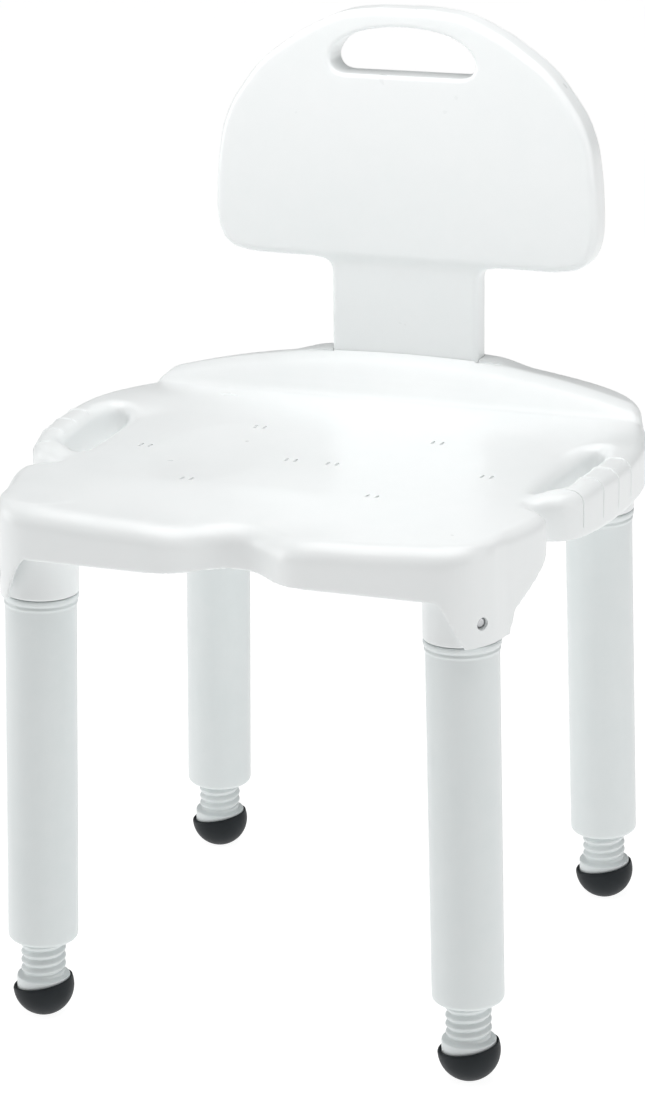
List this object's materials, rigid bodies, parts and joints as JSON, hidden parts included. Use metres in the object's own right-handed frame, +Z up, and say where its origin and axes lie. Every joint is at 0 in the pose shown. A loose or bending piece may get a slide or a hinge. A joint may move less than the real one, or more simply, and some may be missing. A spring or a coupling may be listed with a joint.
{
  "type": "bath seat with backrest",
  "caption": "White moulded bath seat with side hand-holds, a lift-off half-round backrest with a grip slot, and splayed tubular legs whose rubber-tipped feet screw in and out for height.",
  "frame": {"origin": "on the floor, under the centre of the seat", "axes": "+Z up, -Y towards the front, and +X to the right in a view from the front"},
  "size_m": [0.4772, 0.434, 0.745],
  "materials": {
    "white_plastic": "satin gloss moulded white plastic",
    "leg_plastic": "satin blow-moulded white plastic",
    "screw_plastic": "satin moulded white plastic",
    "black_rubber": "smooth matt black rubber",
    "spring_steel": "bright stainless steel"
  },
  "bodies": {
    "seat": {"seat_shell": "white_plastic", "front_left_leg_tube": "leg_plastic", "front_left_threaded_bush": "screw_plastic", "front_left_button_spring": "spring_steel", "front_right_leg_tube": "leg_plastic", "front_right_threaded_bush": "screw_plastic", "front_right_button_spring": "spring_steel", "rear_left_leg_tube": "leg_plastic", "rear_left_threaded_bush": "screw_plastic", "rear_left_button_spring": "spring_steel", "rear_right_leg_tube": "leg_plastic", "rear_right_threaded_bush": "screw_plastic", "rear_right_button_spring": "spring_steel"},
    "backrest": {"backrest": "white_plastic"},
    "front_left_button": {"front_left_snap_button": "spring_steel"},
    "front_left_tip": {"front_left_foot_tip": "black_rubber"},
    "front_left_screw": {"front_left_leg_extension": "screw_plastic"},
    "front_right_button": {"front_right_snap_button": "spring_steel"},
    "front_right_tip": {"front_right_foot_tip": "black_rubber"},
    "front_right_screw": {"front_right_leg_extension": "screw_plastic"},
    "rear_left_button": {"rear_left_snap_button": "spring_steel"},
    "rear_left_tip": {"rear_left_foot_tip": "black_rubber"},
    "rear_left_screw": {"rear_left_leg_extension": "screw_plastic"},
    "rear_right_button": {"rear_right_snap_button": "spring_steel"},
    "rear_right_tip": {"rear_right_foot_tip": "black_rubber"},
    "rear_right_screw": {"rear_right_leg_extension": "screw_plastic"}
  },
  "joints": [
    {"name": "backrest_lift", "type": "slide", "parent": "seat", "child": "backrest", "axis": [0, 0, 1], "range_m": [0, 0.075]},
    {"name": "front_left_height", "type": "slide", "parent": "seat", "child": "front_left_tip", "axis": [-0.0236, -0.0187, -0.9995], "range_m": [-0.028, 0.099]},
    {"name": "front_left_screw_turn", "type": "hinge", "parent": "front_left_tip", "child": "front_left_screw", "pos_m": [-0.17618, -0.17758, 0.0228], "axis": [-0.0236, -0.0187, -0.9995], "range_deg": [-1483, 5242]},
    {"name": "front_left_button_press", "type": "slide", "parent": "seat", "child": "front_left_button", "axis": [0.7069, 0.7067, -0.0299], "range_m": [0, 0.0055], "stiffness_N_per_m": 900, "deforming": ["front_left_button_spring"]},
    {"name": "front_right_height", "type": "slide", "parent": "seat", "child": "front_right_tip", "axis": [0.0236, -0.0187, -0.9995], "range_m": [-0.028, 0.099]},
    {"name": "front_right_screw_turn", "type": "hinge", "parent": "front_right_tip", "child": "front_right_screw", "pos_m": [0.17618, -0.17758, 0.0228], "axis": [0.0236, -0.0187, -0.9995], "range_deg": [-1483, 5242]},
    {"name": "front_right_button_press", "type": "slide", "parent": "seat", "child": "front_right_button", "axis": [-0.7069, 0.7067, -0.0299], "range_m": [0, 0.0055], "stiffness_N_per_m": 900, "deforming": ["front_right_button_spring"]},
    {"name": "rear_left_height", "type": "slide", "parent": "seat", "child": "rear_left_tip", "axis": [-0.0236, 0.0187, -0.9995], "range_m": [-0.028, 0.099]},
    {"name": "rear_left_screw_turn", "type": "hinge", "parent": "rear_left_tip", "child": "rear_left_screw", "pos_m": [-0.17607, 0.1895, 0.0228], "axis": [-0.0236, 0.0187, -0.9995], "range_deg": [-1483, 5242]},
    {"name": "rear_left_button_press", "type": "slide", "parent": "seat", "child": "rear_left_button", "axis": [0.7069, -0.7067, -0.0299], "range_m": [0, 0.0055], "stiffness_N_per_m": 900, "deforming": ["rear_left_button_spring"]},
    {"name": "rear_right_height", "type": "slide", "parent": "seat", "child": "rear_right_tip", "axis": [0.0236, 0.0187, -0.9995], "range_m": [-0.028, 0.099]},
    {"name": "rear_right_screw_turn", "type": "hinge", "parent": "rear_right_tip", "child": "rear_right_screw", "pos_m": [0.17607, 0.1895, 0.0228], "axis": [0.0236, 0.0187, -0.9995], "range_deg": [-1483, 5242]},
    {"name": "rear_right_button_press", "type": "slide", "parent": "seat", "child": "rear_right_button", "axis": [-0.7069, -0.7067, -0.0299], "range_m": [0, 0.0055], "stiffness_N_per_m": 900, "deforming": ["rear_right_button_spring"]}
  ],
  "couplings": [
    {"joint": "front_left_screw_turn", "follows": "front_left_height", "rad_per_m": 924},
    {"joint": "front_right_screw_turn", "follows": "front_right_height", "rad_per_m": 924},
    {"joint": "rear_left_screw_turn", "follows": "rear_left_height", "rad_per_m": 924},
    {"joint": "rear_right_screw_turn", "follows": "rear_right_height", "rad_per_m": 924}
  ]
}
